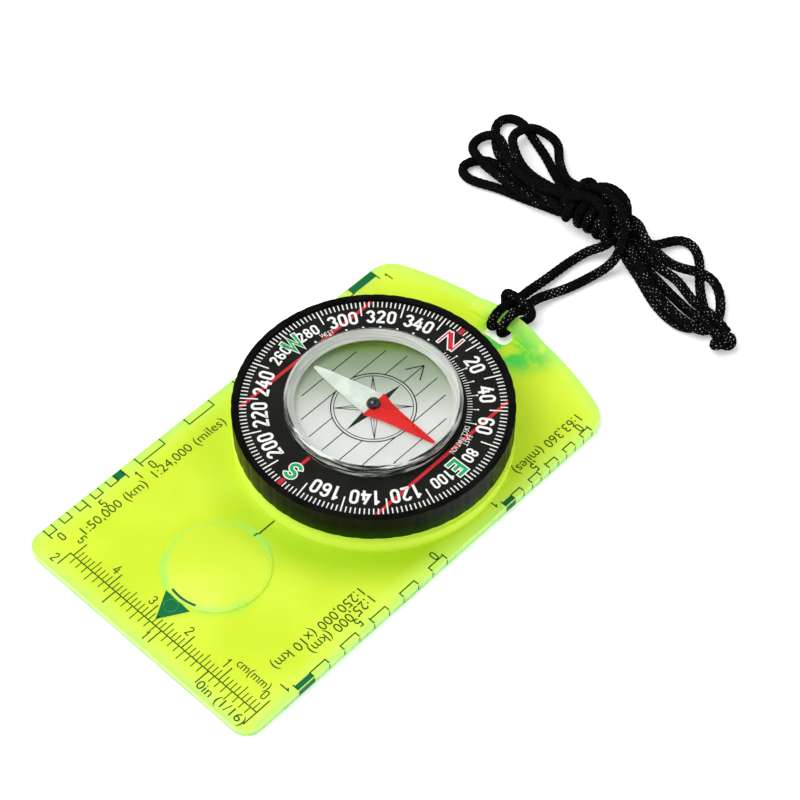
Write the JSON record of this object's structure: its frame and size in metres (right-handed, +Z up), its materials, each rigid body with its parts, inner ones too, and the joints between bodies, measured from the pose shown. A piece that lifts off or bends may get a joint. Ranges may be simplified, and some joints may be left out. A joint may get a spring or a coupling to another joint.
{
  "type": "baseplate compass",
  "caption": "Flat clear baseplate with ruler and magnifier, a turning graduated dial round a liquid-filled needle capsule, and a hitched, bundled neck cord.",
  "frame": {"origin": "middle of the plate's underside, in length and in width", "axes": "+Z up out of the plate's printed face, +Y along the plate to the corded end, +X to the right of it"},
  "size_m": [0.0813, 0.1534, 0.0154],
  "materials": {
    "tinted_plastic": "polished fluorescent yellow-green clear plastic",
    "bezel_black": "glossy moulded black",
    "dial_black": "satin black",
    "ring_plastic": "moulded",
    "capsule_floor": "clear plastic with a faint frost",
    "capsule_clear": "polished clear plastic",
    "steel": "ground",
    "needle_red": "gloss paint",
    "needle_white": "luminous white paint",
    "cap_black": "polished",
    "jewel_red": "polished",
    "cord_black": "braided"
  },
  "bodies": {
    "plate": {"baseplate": "tinted_plastic", "hitch": "cord_black", "strand_a": "cord_black", "strand_b": "cord_black", "wrap": "cord_black", "hank_left": "cord_black", "hank_right": "cord_black", "end_knot": "cord_black"},
    "dial": {"bezel": "bezel_black", "hub": "capsule_clear", "dial_ring": "dial_black", "retaining_ring": "ring_plastic", "capsule_base": "capsule_floor", "capsule_dome": "capsule_clear", "pivot_pin": "steel"},
    "needle": {"needle_red": "needle_red", "needle_white": "needle_white", "needle_cap": "cap_black", "jewel": "jewel_red"}
  },
  "joints": [
    {"name": "dial_turn", "type": "hinge", "parent": "plate", "child": "dial", "pos_m": [0, 0.0117, 0.008], "axis": [0, 0, 1], "continuous": true},
    {"name": "needle_swing", "type": "hinge", "parent": "dial", "child": "needle", "pos_m": [0, 0.0117, 0.0122], "axis": [0, 0, 1], "continuous": true}
  ]
}
